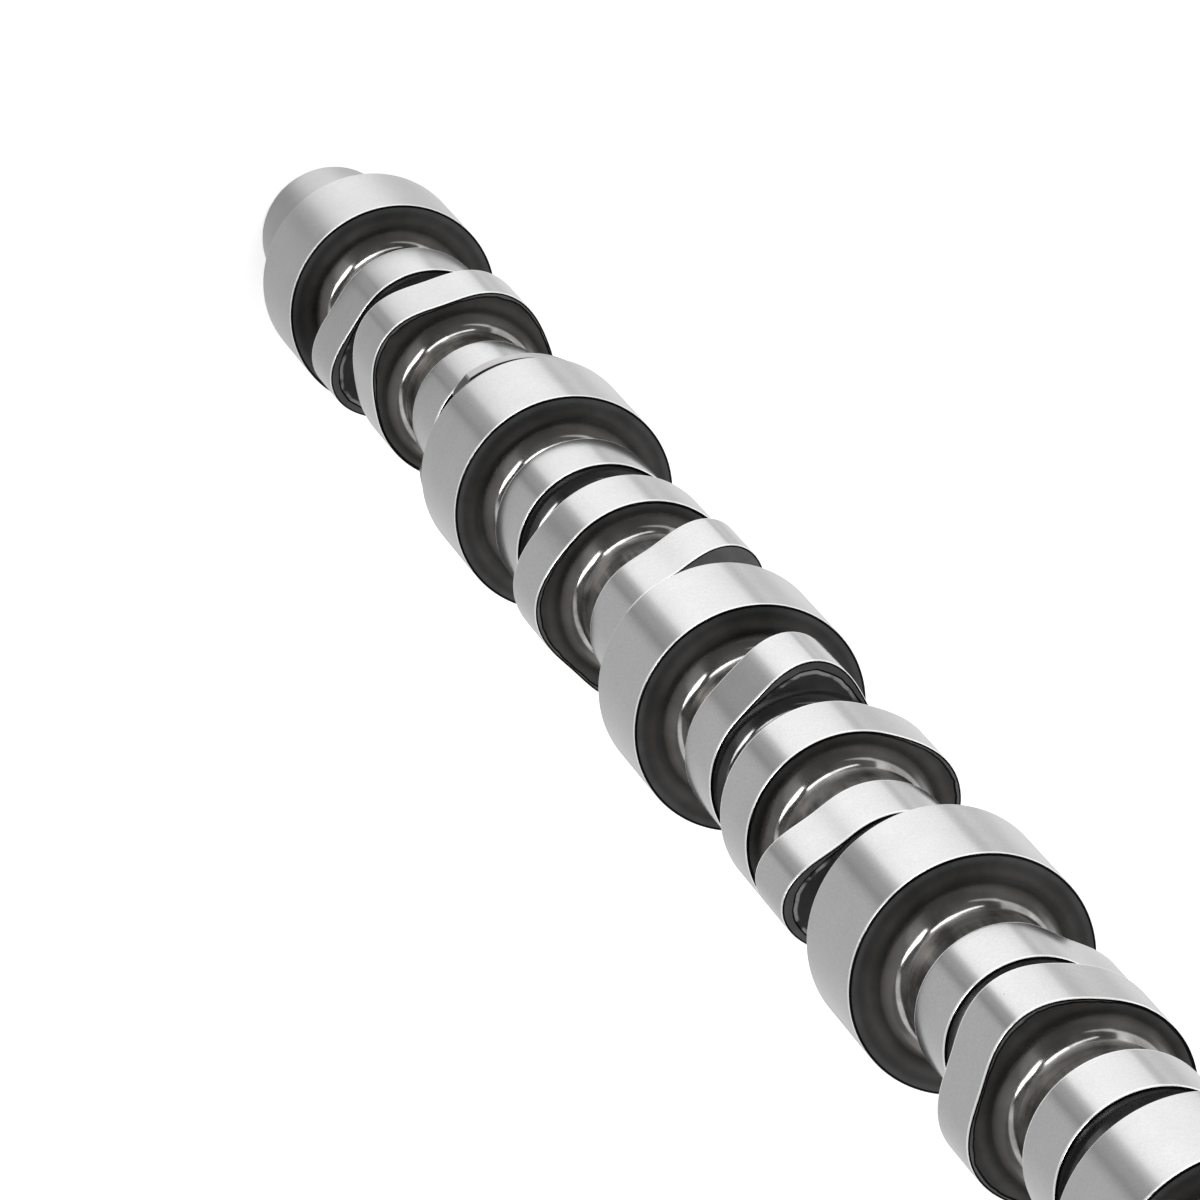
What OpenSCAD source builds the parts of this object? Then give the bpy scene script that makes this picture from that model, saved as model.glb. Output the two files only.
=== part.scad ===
// Camshaft of a straight-six diesel engine, turned and ground from one forging.
// Each cylinder has three lobes between two bearing journals: two valve lobes and,
// in the middle, an engine brake lobe with two low bumps.
// The shaft stands on its rear spigot: +Z runs to the drive end, origin on the rear face.

/* [Journals] */
// Number of cylinders, with one journal more than this
cylinders = 6; // [6]
// Distance from one journal to the next
pitch = 162.5; // [158:0.5:180]
// Journal diameter
journal_d = 62; // [61.5:0.5:70]
// Journal width
journal_w = 30.5; // [26:0.5:33]
// Chamfer on each journal's edges
journal_chamfer = 1.2; // [0.5:0.1:2]
// Diameter of the collar behind the second journal
collar_d = 57.6; // [54:0.2:60]
// Width of that collar
collar_w = 12; // [6:0.5:12]
// Angle from the first exhaust nose to the middle of the collar's notch
notch_angle = -45; // [-90:1:0]
// Angle over which the notch reaches
notch_span = 58; // [20:1:60]

/* [Shaft] */
// Diameter of the shaft between journals and lobes
shaft_d = 36; // [32:0.5:38]
// Fillet where the shaft meets a journal
journal_fillet = 6.5; // [4:0.5:7]
// Diameter of the rear spigot
rear_d = 41; // [30:0.5:50]
// Length of the rear spigot
rear_len = 39.5; // [20:0.5:60]
// Diameter of the front spigot
front_d = 41; // [30:0.5:50]
// Length of the front spigot
front_len = 22; // [10:0.5:40]
// Mouth diameter of the lathe centre in each end
centre_d = 10; // [6:0.5:14]

/* [Valve lobes] */
// Width of every lobe
lobe_w = 20; // [16:0.5:21]
// Distance between two neighbouring lobes, centre to centre
lobe_pitch = 37.6; // [34:0.1:39]
// How far the middle lobe lies behind the middle between two journals
lobe_setback = 2.45; // [2:0.05:4]
// Base circle diameter of the exhaust lobe
exhaust_base_d = 46.9; // [44:0.1:47.9]
// Lift of the exhaust lobe
exhaust_lift = 7; // [4:0.1:7.5]
// Base circle diameter of the intake lobe
intake_base_d = 42.2; // [40:0.1:43.2]
// Lift of the intake lobe
intake_lift = 9.3; // [6:0.1:9.8]
// Angle from the exhaust nose to the intake nose
lobe_separation = 101; // [90:1:120]
// Half the angle over which a valve lobe lifts
valve_half_angle = 66; // [50:1:75]

/* [Brake lobe] */
// Base circle diameter of the brake lobe
brake_base_d = 53.5; // [50:0.1:55]
// Height of its two bumps
brake_lift = 3.35; // [2:0.05:4]
// Angle from the exhaust nose to the first bump
brake_first = -136; // [-150:1:-120]
// Angle from the exhaust nose to the second bump
brake_second = -58; // [-70:1:-45]
// Half the angle over which a bump lifts
brake_half_angle = 56; // [40:1:70]

/* [Hidden] */
$fn = 96;
// Turn of each cylinder's exhaust nose, from the rear: the firing order of a straight six
cylinder_phase = [0, 120, 240, 60, 300, 180];
// From the rear, the exhaust lobe comes first on the first half of the cylinders
mirrored_from = cylinders / 2;
// How far each journal lies in front of its even place, from the rear
journal_shift = [0, 2.4, -1.5, -1.5, 0, 0, 0];
// How far the third lobe of each cylinder lies in front of its even place
third_lobe_shift = [0, 1.5, 0, 2, 0, 0];
// The journal that carries the collar, and how much wider it is
collar_journal = 1;
collar_journal_extra = 2;
collar_fillet = 3;
// Distance from the axis to the flat floor of the collar's notch
notch_floor = 22;
outline_step = 4;
arc_steps = 6;
// How far a fillet runs on inside the solid that it meets
bite = 0.2;
// How far a fillet stays below the base circle of its lobe
fillet_margin = 0.5;
journal_r = journal_d / 2;
collar_r = collar_d / 2;
shaft_r = shaft_d / 2;
length = rear_len + cylinders * pitch + journal_w + front_len;

// Even place of the middle of journal i above the rear face
function even_z(i) = rear_len + journal_w / 2 + i * pitch;
// Half the width of journal i, and the heights of its rear and front faces
function half_w(i) = (journal_w + (i == collar_journal ? collar_journal_extra : 0)) / 2;
function journal_rear(i) = even_z(i) + journal_shift[i] - half_w(i);
function journal_front(i) = even_z(i) + journal_shift[i] + half_w(i);
// Height of the middle of lobe k (-1, 0 or 1) of cylinder i
function lobe_z(i, k) = even_z(i) + pitch / 2 - lobe_setback + k * lobe_pitch
    + (k == 1 ? third_lobe_shift[i] : 0);
// The mirrored cylinders have their two valve lobes the other way round
function exhaust_place(i) = i < mirrored_from ? -1 : 1;

// Smallest angle between two directions
function turn_between(a, b) = abs((a - b + 900) % 360 - 180);
// Smooth bump of height 1 at angle 0 that is gone at the half angle
function bump(t, half_angle, sharpness) =
    t >= half_angle ? 0 : pow(cos(90 * t / half_angle), 2 * sharpness);
// Radius of a cam outline at angle a, with a bump of the same height at each nose
function cam_radius(a, base_r, lift, noses, half_angle, sharpness) =
    base_r + lift * bump(turn_between(a, noses[0]), half_angle, sharpness)
    + (len(noses) < 2 ? 0 : lift * bump(turn_between(a, noses[1]), half_angle, sharpness));

// Prism of one lobe between its two side faces
module lobe(base_r, lift, noses, half_angle, sharpness) {
    translate([0, 0, -lobe_w / 2])
        linear_extrude(lobe_w)
            polygon([for (a = [0 : outline_step : 360 - outline_step])
                let (r = cam_radius(a, base_r, lift, noses, half_angle, sharpness))
                    [r * cos(a), r * sin(a)]]);
}

// The three lobes of cylinder i
module cylinder_lobes(i) {
    phase = cylinder_phase[i];
    translate([0, 0, lobe_z(i, exhaust_place(i))])
        lobe(exhaust_base_d / 2, exhaust_lift, [phase], valve_half_angle, 2);
    translate([0, 0, lobe_z(i, 0)])
        lobe(brake_base_d / 2, brake_lift, [phase + brake_first, phase + brake_second],
            brake_half_angle, 1.5);
    translate([0, 0, lobe_z(i, -exhaust_place(i))])
        lobe(intake_base_d / 2, intake_lift, [phase + lobe_separation], valve_half_angle, 2);
}

// Quarter arc from the shaft up to height r above it, as [radius, height] points
// from the shaft end at z - side * r to the face at z, side being 1 below a face and -1 above
function fillet(z, r, side) = [for (n = [0 : arc_steps])
    let (a = 90 * n / arc_steps)
        [shaft_r + r * (1 - cos(a)), z - side * r * (1 - sin(a))]];
function reversed(points) = [for (n = [len(points) - 1 : -1 : 0]) points[n]];

// Outline of journal i, chamfered, from its rear face to its front face
function journal_outline(i) = [
    [journal_r - journal_chamfer, journal_rear(i)],
    [journal_r, journal_rear(i) + journal_chamfer],
    [journal_r, journal_front(i) - journal_chamfer],
    [journal_r - journal_chamfer, journal_front(i)]];
// Fillets on both sides of a lobe whose middle is at z, rising to just under its base circle
function lobe_fillets(z, base_r) =
    let (r = min(journal_fillet, base_r - fillet_margin - shaft_r))
        concat(fillet(z - lobe_w / 2 + bite, r, 1), reversed(fillet(z + lobe_w / 2 - bite, r, -1)));
function base_at(i, k) =
    (k == 0 ? brake_base_d : k == exhaust_place(i) ? exhaust_base_d : intake_base_d) / 2;
// Everything between journal i and the next one
function bay_outline(i) = concat(
    reversed(fillet(journal_front(i), journal_fillet, -1)),
    [for (k = [-1 : 1]) each lobe_fillets(lobe_z(i, k), base_at(i, k))],
    i + 1 == collar_journal
        ? fillet(journal_rear(i + 1) - collar_w + bite, collar_fillet, 1) : [],
    fillet(journal_rear(i + 1), journal_fillet, 1));

// The turned body: both spigots, the journals and the shaft between them
module turned_body() {
    rotate_extrude()
        polygon(concat(
            [[0, 0], [rear_d / 2 - 1, 0], [rear_d / 2, 1], [rear_d / 2, rear_len]],
            [for (i = [0 : cylinders]) each concat(
                journal_outline(i), i < cylinders ? bay_outline(i) : [])],
            [[front_d / 2, length - front_len], [front_d / 2, length - 1],
                [front_d / 2 - 1, length], [0, length]]));
}

// Collar behind its journal, with a flat-floored notch whose walls run to the axis
module collar() {
    corner = notch_floor / cos(notch_span / 2);
    translate([0, 0, journal_rear(collar_journal) - collar_w])
        difference() {
            cylinder(h = collar_w + bite, r = collar_r);
            rotate(notch_angle)
                translate([0, 0, -1])
                    linear_extrude(collar_w + 2)
                        polygon([for (p = [[corner, -1], [collar_d, -1], [collar_d, 1], [corner, 1]])
                            [p[0] * cos(notch_span / 2), p[0] * sin(p[1] * notch_span / 2)]]);
        }
}

// Lathe centre with its mouth up at height 0, run on a little above it
module lathe_centre() {
    over = 0.01;
    depth = centre_d * 0.8;
    mouth = centre_d + 2 * over * tan(30);
    translate([0, 0, -depth])
        cylinder(h = depth + over, d1 = mouth - 2 * (depth + over) * tan(30), d2 = mouth);
}

module camshaft() {
    color("silver")
        difference() {
            union() {
                turned_body();
                collar();
                for (i = [0 : cylinders - 1]) cylinder_lobes(i);
            }
            translate([0, 0, length]) lathe_centre();
            mirror([0, 0, 1]) lathe_centre();
        }
}

camshaft();
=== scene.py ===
# %% [markdown]
# # A camshaft of a straight-six diesel engine
# The real shaft is one steel forging, turned between two lathe centres, with its
# journals and lobes ground to a mirror-like finish and the rest left dark.
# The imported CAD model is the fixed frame. This lesson dresses it with rounded rims,
# fillets, a forging skin and ground steel, on a plain pale floor.

import math

import bmesh
import bpy
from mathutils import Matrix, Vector


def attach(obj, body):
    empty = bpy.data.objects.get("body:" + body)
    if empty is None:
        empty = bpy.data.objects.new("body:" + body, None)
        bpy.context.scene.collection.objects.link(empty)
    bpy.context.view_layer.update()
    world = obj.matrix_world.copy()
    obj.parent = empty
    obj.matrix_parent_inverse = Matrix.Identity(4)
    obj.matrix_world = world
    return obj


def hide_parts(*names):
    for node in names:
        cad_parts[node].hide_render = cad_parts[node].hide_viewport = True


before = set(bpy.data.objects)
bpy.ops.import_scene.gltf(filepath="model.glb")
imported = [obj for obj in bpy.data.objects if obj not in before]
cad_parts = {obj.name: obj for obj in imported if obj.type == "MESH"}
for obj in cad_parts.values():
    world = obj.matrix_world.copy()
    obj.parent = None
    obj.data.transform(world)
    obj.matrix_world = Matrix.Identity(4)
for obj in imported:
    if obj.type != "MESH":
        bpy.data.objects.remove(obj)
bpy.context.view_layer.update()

# %% [markdown]
# ## Camera
# The photograph looks along the shaft from its front, a long way off, so that the
# shaft crosses the picture from the upper left and leaves it at the lower right.
# A long lens keeps the near and the far journals almost the same size.

# %% Camera
camera_data = bpy.data.cameras.new("camera")
camera_data.lens = 229.87
camera_data.sensor_width = 36
camera_data.clip_end = 60
camera = bpy.data.objects.new("camera", camera_data)
camera.location = (0.27728, -0.90694, 2.08432)
camera.rotation_euler = [math.radians(a) for a in (-21.9317, -17.6557, 159.4311)]
bpy.context.scene.collection.objects.link(camera)
bpy.context.scene.camera = camera
bpy.context.scene.view_settings.view_transform = "Standard"
CAMERA_SIDE = math.degrees(math.atan2(camera.location.y, camera.location.x))
print("camera stands at", round(CAMERA_SIDE, 1), "degrees round the shaft")

# %% [markdown]
# ## Floor
# A plain white sheet. The camera sees it as white paper, and a part of its own
# shading stays in it, so the shaft keeps a soft shadow at its foot. Polished steel
# looks past the sheet into the studio round it, which the world gives.

# %% Floor
FLOOR_SIZE = 60
FLOOR_DROP = 0.0002
PAPER_GLOW = 0.35
bpy.ops.object.select_all(action="DESELECT")
bpy.ops.mesh.primitive_plane_add(size=FLOOR_SIZE, location=(0, 0, -FLOOR_DROP))
floor = bpy.context.object
floor.name = "floor"
floor.visible_glossy = False

paper = bpy.data.materials.new("white_paper")
paper.use_nodes = True
nodes, links = paper.node_tree.nodes, paper.node_tree.links
sheet = nodes["Principled BSDF"]
sheet.inputs["Base Color"].default_value = (0.9, 0.9, 0.9, 1)
sheet.inputs["Roughness"].default_value = 0.9
sheet.inputs["Specular IOR Level"].default_value = 0
sheet.inputs["Emission Color"].default_value = (1, 1, 1, 1)
eye = nodes.new("ShaderNodeLightPath")
glow = nodes.new("ShaderNodeMath")
glow.operation = "MULTIPLY"
glow.inputs[1].default_value = PAPER_GLOW
links.new(eye.outputs["Is Camera Ray"], glow.inputs[0])
links.new(glow.outputs[0], sheet.inputs["Emission Strength"])
floor.data.materials.append(paper)
print("floor", [round(c, 1) for c in floor.dimensions])

# %% [markdown]
# ## Studio
# Steel shows little of its own: it shows the room. The shaft stood in a white tent
# with a grey card on one side, a dark slit where the camera looks in, and a bright
# box beside the slit. The world paints that room by direction: one row of tones for
# what lies low, one for the horizon, and a dim roof. Cards and soft boxes with
# straight edges are laid over those rows.

# %% Studio tones
# Each row runs round the shaft from 180 degrees left of the camera to 180 right
# of it, as (degrees, brightness).
LOW_TONES = [
    (-180, 0.73), (-150, 0.775), (-132, 0.745), (-124, 0.70), (-114, 0.62), (-104, 0.65),
    (-98, 0.72), (-95, 0.69), (-91, 0.57), (-88, 0.56), (-83, 0.65), (-81.5, 0.72), (-79, 0.98),
    (-76, 0.93), (-66, 1.01), (-54, 1.06), (-28, 1.12), (-14, 1.09), (-8, 1.02), (-4, 0.90),
    (-2, 0.70), (2, 0.53), (6, 0.40), (13, 0.358), (19, 0.29), (25, 0.41), (31, 0.47),
    (90, 0.475), (120, 0.54), (156, 0.64), (166, 0.54), (180, 0.52),
]
SIDE_TONES = [
    (-180, 0.95), (-140, 0.9), (-118, 0.2), (-60, 0.16), (60, 0.16), (118, 0.2), (140, 0.75),
    (180, 0.95),
]
ROOF_TONES = [
    (-180, 0.17), (-145, 0.25), (-95, 0.26), (-65, 0.14), (-8, 0.13), (8, 0.24), (40, 0.27),
    (95, 0.27), (145, 0.25), (180, 0.17),
]
# Between these heights, in degrees, the low tones pass into the horizon's and those
# into the roof's.
HORIZON_FROM, HORIZON_TO = -22, -16
ROOF_FROM, ROOF_TO = 26, 36
# What lights matt surfaces
LAMP_TONE = 0.95
# Soft boxes: from and to in degrees round, lower edge at both ends, upper edge at both
# ends in degrees of height, softness of the sides and of the edges, brightness.
BOXES = [
    (-130, -80, (-31, -20), (5, 22), 2, 5, 1.1),
    (-80, -50, (13, 29), (26, 31), 2, 4, 1.0),
    (62, 130, (11, -33), (27, -1), 26, 6, 1.05),
    (20, 60, (-7, 10), (4, 20), 3, 3, 0.1),
    (-26, 4, (-21, -21), (-11, -11), 2, 2, 0.08),
    (7, 20, (12, 4), (28, 27), 2, 2, 7.5),
    (20, 52, (4, 21), (27, 23), 2, 2, 7.5),
    (-26, 4, (-11, -11), (0, 0), 2, 2, 5.5),
    (-60, -26, (-4, -11), (1, 0), 3, 2, 2.4),
    (6, 34, (22, 22), (80, 80), 6, 7, 0.45),
]
print("tones:", len(LOW_TONES + SIDE_TONES + ROOF_TONES), "boxes:", len(BOXES))

# %% An empty world and its helpers
world = bpy.data.worlds.new("studio")
bpy.context.scene.world = world
world.use_nodes = True
nodes, links = world.node_tree.nodes, world.node_tree.links
nodes.clear()


def step_node(operation, a, b=None, c=None):
    """A Math node on sockets or plain numbers."""
    node = nodes.new("ShaderNodeMath")
    node.operation = operation
    for socket, value in zip(node.inputs, (a, b, c)):
        if value is None:
            continue
        if isinstance(value, (int, float)):
            socket.default_value = value
        else:
            links.new(value, socket)
    return node.outputs[0]


def tone_row(tones, position):
    """A ramp of brightness over one turn round the shaft."""
    ramp = nodes.new("ShaderNodeValToRGB")
    row = ramp.color_ramp
    top = max(t for _, t in tones)
    row.elements[0].position = 0
    row.elements[1].position = 1
    for angle, _ in tones[1:-1]:
        row.elements.new((angle + 180) / 360)
    for element, (_, tone) in zip(row.elements, tones):
        element.color = (tone / top, tone / top, tone / top, 1)
    links.new(position, ramp.inputs[0])
    return step_node("MULTIPLY", ramp.outputs[0], top)


def rise(value, low, high):
    """0 below low, 1 above high, eased between."""
    node = nodes.new("ShaderNodeMapRange")
    node.interpolation_type = "SMOOTHSTEP"
    node.inputs["From Min"].default_value = low
    node.inputs["From Max"].default_value = high
    links.new(value, node.inputs["Value"])
    return node.outputs["Result"]


def mixed(share, a, b):
    """a where share is 0, b where it is 1."""
    return step_node("ADD", step_node("MULTIPLY", a, step_node("SUBTRACT", 1, share)),
                     step_node("MULTIPLY", b, share))


print("empty world:", world.name)

# %% The room by direction
where = nodes.new("ShaderNodeTexCoord")
split = nodes.new("ShaderNodeSeparateXYZ")
links.new(where.outputs["Generated"], split.inputs[0])
turn = step_node("ARCTAN2", split.outputs["Y"], split.outputs["X"])
turn = step_node("SUBTRACT", step_node("MULTIPLY", turn, 180 / math.pi), CAMERA_SIDE)
turn = step_node("WRAP", turn, 180, -180)
position = step_node("DIVIDE", step_node("ADD", turn, 180), 360)
height = step_node("MULTIPLY", step_node("ARCSINE", split.outputs["Z"]), 180 / math.pi)
room = mixed(rise(height, HORIZON_FROM, HORIZON_TO), tone_row(LOW_TONES, position),
             tone_row(SIDE_TONES, position))
room = mixed(rise(height, ROOF_FROM, ROOF_TO), room, tone_row(ROOF_TONES, position))
for left, right, lower, upper, side, soft, tone in BOXES:
    way = step_node("DIVIDE", step_node("SUBTRACT", turn, left), right - left)
    bottom, top = (step_node("ADD", step_node("MULTIPLY", way, b - a), a)
                   for a, b in (lower, upper))
    inside = step_node("MULTIPLY", rise(turn, left - side / 2, left + side / 2),
                       step_node("SUBTRACT", 1, rise(turn, right - side / 2, right + side / 2)))
    above = rise(step_node("SUBTRACT", height, bottom), -soft / 2, soft / 2)
    below = rise(step_node("SUBTRACT", top, height), -soft / 2, soft / 2)
    share = step_node("MULTIPLY", inside, step_node("MULTIPLY", above, below))
    room = mixed(share, room, tone)
print("room painted with", len(nodes), "nodes")

# %% Who sees the room
path = nodes.new("ShaderNodeLightPath")
mirror = step_node("MINIMUM", step_node("ADD", path.outputs["Is Glossy Ray"],
                                        path.outputs["Is Transmission Ray"]), 1)
light = mixed(mirror, LAMP_TONE, room)
light = mixed(path.outputs["Is Camera Ray"], light, 1)
background = nodes.new("ShaderNodeBackground")
background.inputs["Color"].default_value = (1, 1, 1, 1)
links.new(light, background.inputs["Strength"])
output = nodes.new("ShaderNodeOutputWorld")
links.new(background.outputs[0], output.inputs["Surface"])
print("studio with", len(nodes), "nodes")

# %% Soft lamp
lamp_data = bpy.data.lights.new("soft_box", "AREA")
lamp_data.shape = "RECTANGLE"
lamp_data.size = 1.6
lamp_data.size_y = 2.4
lamp_data.energy = 28
lamp = bpy.data.objects.new("soft_box", lamp_data)
lamp.location = (-1.6, -1.4, 2.6)
aim = Vector((0, 0, 0.5)) - lamp.location
lamp.rotation_euler = aim.to_track_quat("-Z", "Y").to_euler()
lamp.visible_camera = False
lamp.visible_glossy = False
bpy.context.scene.collection.objects.link(lamp)
print("soft box at", tuple(lamp.location))

# %% [markdown]
# A dark cloth lies under the rear end. Only reflections see it. It dulls the light on
# the first journals, and the journals farther forward look past it.

# %% Dark cloth
# How much light the cloth takes, as (degrees round, share), and where it fades out
CLOTH_TONES = [(-60, 0.0), (-42, 0.15), (-24, 0.34), (-12, 0.52), (-4, 0.58), (1, 0.50),
               (6, 0.12), (14, 0.0), (22, 0.03), (32, 0.22), (62, 0.16), (90, 0.05), (110, 0.0)]
CLOTH_R = 1.2
CLOTH_DEPTH = 0.9
FADE_FROM, FADE_TO = 0.49, 0.63
bpy.ops.object.select_all(action="DESELECT")
bpy.ops.mesh.primitive_circle_add(vertices=64, radius=CLOTH_R, fill_type="NGON",
                                  location=(0, 0, -CLOTH_DEPTH))
cloth = bpy.context.object
cloth.name = "dark_cloth"
for ray in ("camera", "diffuse", "shadow", "transmission", "volume_scatter"):
    setattr(cloth, "visible_" + ray, False)
print("cloth", [round(c, 1) for c in cloth.dimensions])

# %% How the cloth dulls the light
weave = bpy.data.materials.new("dark_cloth")
weave.use_nodes = True
nodes, links = weave.node_tree.nodes, weave.node_tree.links
nodes.clear()
spot = nodes.new("ShaderNodeTexCoord")
split = nodes.new("ShaderNodeSeparateXYZ")
links.new(spot.outputs["Object"], split.inputs[0])
turn = step_node("ARCTAN2", split.outputs["Y"], split.outputs["X"])
turn = step_node("SUBTRACT", step_node("MULTIPLY", turn, 180 / math.pi), CAMERA_SIDE)
turn = step_node("WRAP", turn, 180, -180)
away = step_node("SQRT", step_node("ADD", step_node("POWER", split.outputs["X"], 2),
                                   step_node("POWER", split.outputs["Y"], 2)))
cover = tone_row([(-180, 0)] + CLOTH_TONES + [(180, 0)],
                 step_node("DIVIDE", step_node("ADD", turn, 180), 360))
cover = step_node("MULTIPLY", cover, step_node("SUBTRACT", 1, rise(away, FADE_FROM, FADE_TO)))
gauze = nodes.new("ShaderNodeBsdfTransparent")
links.new(step_node("SUBTRACT", 1, cover), gauze.inputs["Color"])
output = nodes.new("ShaderNodeOutputMaterial")
links.new(gauze.outputs[0], output.inputs["Surface"])
cloth.data.materials.append(weave)
print("cloth fades out at", FADE_TO, "m from the axis")

# %% [markdown]
# ## Sizes
# All sizes repeat the part's source, in millimetres. The shaft is divided into the
# same 120 directions everywhere, so that every lobe, journal and neck meets its
# neighbour point to point, whatever sixth of a turn a lobe is set at.

# %% Sizes
MM = 0.001
COLUMNS = 120
PITCH = 162.5
JOURNAL_R = 31.0
JOURNAL_W = 30.5
# Cut on a journal's front (1) and rear (-1) edge, and how far its corner is rounded
EDGE_CUT = {1: 0.35, -1: 0.5}
CORNER = 0.15
SHAFT_R = 18.0
JOURNAL_FILLET = 6.5
SPIGOT_R = 20.5
REAR_LENGTH = 39.5
FRONT_LENGTH = 22.0
LOBE_W = 20.0
LOBE_PITCH = 37.6
LOBE_SETBACK = 2.45
PHASES = (0, 120, 240, 60, 300, 180)
JOURNAL_SHIFT = (0, 2.4, -1.5, -1.5, 0, 0, 0)
THIRD_LOBE_SHIFT = (0, 1.5, 0, 2, 0, 0)
COLLAR_JOURNAL = 1
COLLAR_R = 28.8
COLLAR_W = 12.0
COLLAR_FILLET = 3.0
NOTCH_ANGLE = -47.5
# Each cut: its floor's distance from the axis, half its width, its distance to the journal
NOTCH_CUTS = ((24.55, 40.0, 0.1), (22.0, 7.6, 0.14))
COLLAR_EDGE = 2.6
RELIEF = 0.6
RELIEF_W = 5.5
RELIEF_END = 0.2
ARC_STEPS = 7
# Rounding of a lobe's edge, and how far the painted highlight beside an edge reaches
RIM = 0.34
LINE = 0.7
# Two points nearer than this count as being in one place, and a point this close under
# the ground outline as lying on the running surface
NEAR = 0.01
FLUSH = 0.004


def bump(turned, half_angle, sharpness):
    """Smooth rise of height 1 at angle 0 that is gone at the half angle."""
    turned = abs((turned + 900) % 360 - 180)
    if turned >= half_angle:
        return 0.0
    return math.cos(math.radians(90 * turned / half_angle)) ** (2 * sharpness)


def outline_of(base, lift, noses, half_angle, sharpness):
    """The lobe's radius in each direction, in millimetres."""
    return lambda a: base + sum(lift * bump(a - n, half_angle, sharpness) for n in noses)


OUTLINES = {
    "exhaust": outline_of(23.45, 7.0, (0,), 66, 2),
    "intake": outline_of(21.1, 9.3, (101,), 66, 2),
    "intake_even": outline_of(21.1, 9.3, (101,), 66, 2),
    "brake": outline_of(26.75, 3.35, (-136, -58), 56, 1.5),
}
BASES = {"exhaust": 23.45, "intake": 21.1, "intake_even": 21.1, "brake": 26.75}
# The cylinder whose intake lobe has even faces, and the first one whose valve lobes have
# changed places
EVEN_CYLINDER = 1
MIRRORED_FROM = 3
print("lobe outlines:", {n: round(max(o(a) for a in range(360)), 2) for n, o in OUTLINES.items()})

# %% [markdown]
# ## Tools of the trade
# Every lobe and journal starts as a cylinder with as many sides as there are
# directions. Its two round caps are then drawn inwards, ring after ring, down to the
# neck. A ring is an extruded cap whose points are scaled or moved to their place.


# %% Helpers for edit mode
def edit(piece):
    """Opens one piece in edit mode with nothing selected."""
    bpy.ops.object.select_all(action="DESELECT")
    piece.select_set(True)
    bpy.context.view_layer.objects.active = piece
    bpy.ops.object.mode_set(mode="EDIT")
    bpy.ops.mesh.select_mode(type="VERT")
    bpy.ops.mesh.select_all(action="DESELECT")


def pick(piece, test):
    """Selects the points that pass the test, and what lies between them."""
    bpy.ops.mesh.select_all(action="DESELECT")
    mesh = bmesh.from_edit_mesh(piece.data)
    for point in mesh.verts:
        if test(point.co / MM):
            point.select_set(True)
    mesh.select_flush_mode()
    bmesh.update_edit_mesh(piece.data)


def pick_edges(piece, test):
    """Selects the edges whose two end points pass the test."""
    bpy.ops.mesh.select_all(action="DESELECT")
    mesh = bmesh.from_edit_mesh(piece.data)
    for edge in mesh.edges:
        a, b = (v.co / MM for v in edge.verts)
        if test(a, b):
            edge.select_set(True)
    bmesh.update_edit_mesh(piece.data)


def radius(p):
    """How far a point lies from the shaft's axis."""
    return math.hypot(p.x, p.y)


def level(a, b):
    """Whether two points lie at one height, so that their edge runs round the shaft."""
    return abs(a.z - b.z) < 0.001


def set_columns(piece, radius_at):
    """Moves the selected points, direction by direction, to the radius given there."""
    mesh = bmesh.from_edit_mesh(piece.data)
    columns = {}
    for point in mesh.verts:
        if point.select:
            angle = math.degrees(math.atan2(point.co.y, point.co.x)) % 360
            columns.setdefault(round(angle * COLUMNS / 360) % COLUMNS, []).append(point.index)
    for column, members in sorted(columns.items()):
        bpy.ops.mesh.select_all(action="DESELECT")
        mesh = bmesh.from_edit_mesh(piece.data)
        mesh.verts.ensure_lookup_table()
        for i in members:
            mesh.verts[i].select_set(True)
        now = mesh.verts[members[0]].co
        a = 2 * math.pi * column / COLUMNS
        r = radius_at(column * 360 / COLUMNS) * MM
        bpy.ops.transform.translate(value=(r * math.cos(a) - now.x, r * math.sin(a) - now.y, 0))


# %% Rings on a cap
def select_cap(piece, side):
    """Selects the many-sided face that closes the piece on its upper (1) or lower (-1) side."""
    bpy.ops.mesh.select_mode(type="FACE")
    bpy.ops.mesh.select_all(action="DESELECT")
    mesh = bmesh.from_edit_mesh(piece.data)
    caps = [f for f in mesh.faces if len(f.verts) == COLUMNS and f.normal.z * side > 0.9]
    max(caps, key=lambda f: f.calc_center_median().z * side).select_set(True)
    bmesh.update_edit_mesh(piece.data)


def ring(piece, side, radius_now, radius_next, height_change):
    """Extrudes the cap by a height and scales its edge, by one factor or column by column."""
    select_cap(piece, side)
    bpy.ops.mesh.extrude_region_move(
        TRANSFORM_OT_translate={"value": (0, 0, height_change * side * MM)})
    if callable(radius_next):
        bpy.ops.mesh.select_mode(type="VERT")
        set_columns(piece, radius_next)
    else:
        factor = radius_next / radius_now
        bpy.ops.transform.resize(value=(factor, factor, 1), center_override=(0, 0, 0))


def rings(piece, side, radius_now, profile):
    """Draws ring after ring, each given by its radius and its change of height."""
    for radius_next, height_change in profile:
        ring(piece, side, radius_now, radius_next, height_change)
        radius_now = radius_next


def fillet_down(piece, side, fillet):
    """Draws the cap from the fillet's upper edge down its quarter arc to the neck."""
    now = SHAFT_R + fillet
    for n in range(1, ARC_STEPS + 1):
        a = math.radians(90 * n / ARC_STEPS)
        before = math.radians(90 * (n - 1) / ARC_STEPS)
        nearer = SHAFT_R + fillet * (1 - math.sin(a))
        down = fillet * (math.cos(before) - math.cos(a))
        ring(piece, side, now, nearer, down)
        now = nearer


def open_neck(piece, side):
    """Takes the last cap away, which leaves the neck open for its neighbour."""
    select_cap(piece, side)
    bpy.ops.mesh.delete(type="ONLY_FACE")


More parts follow.
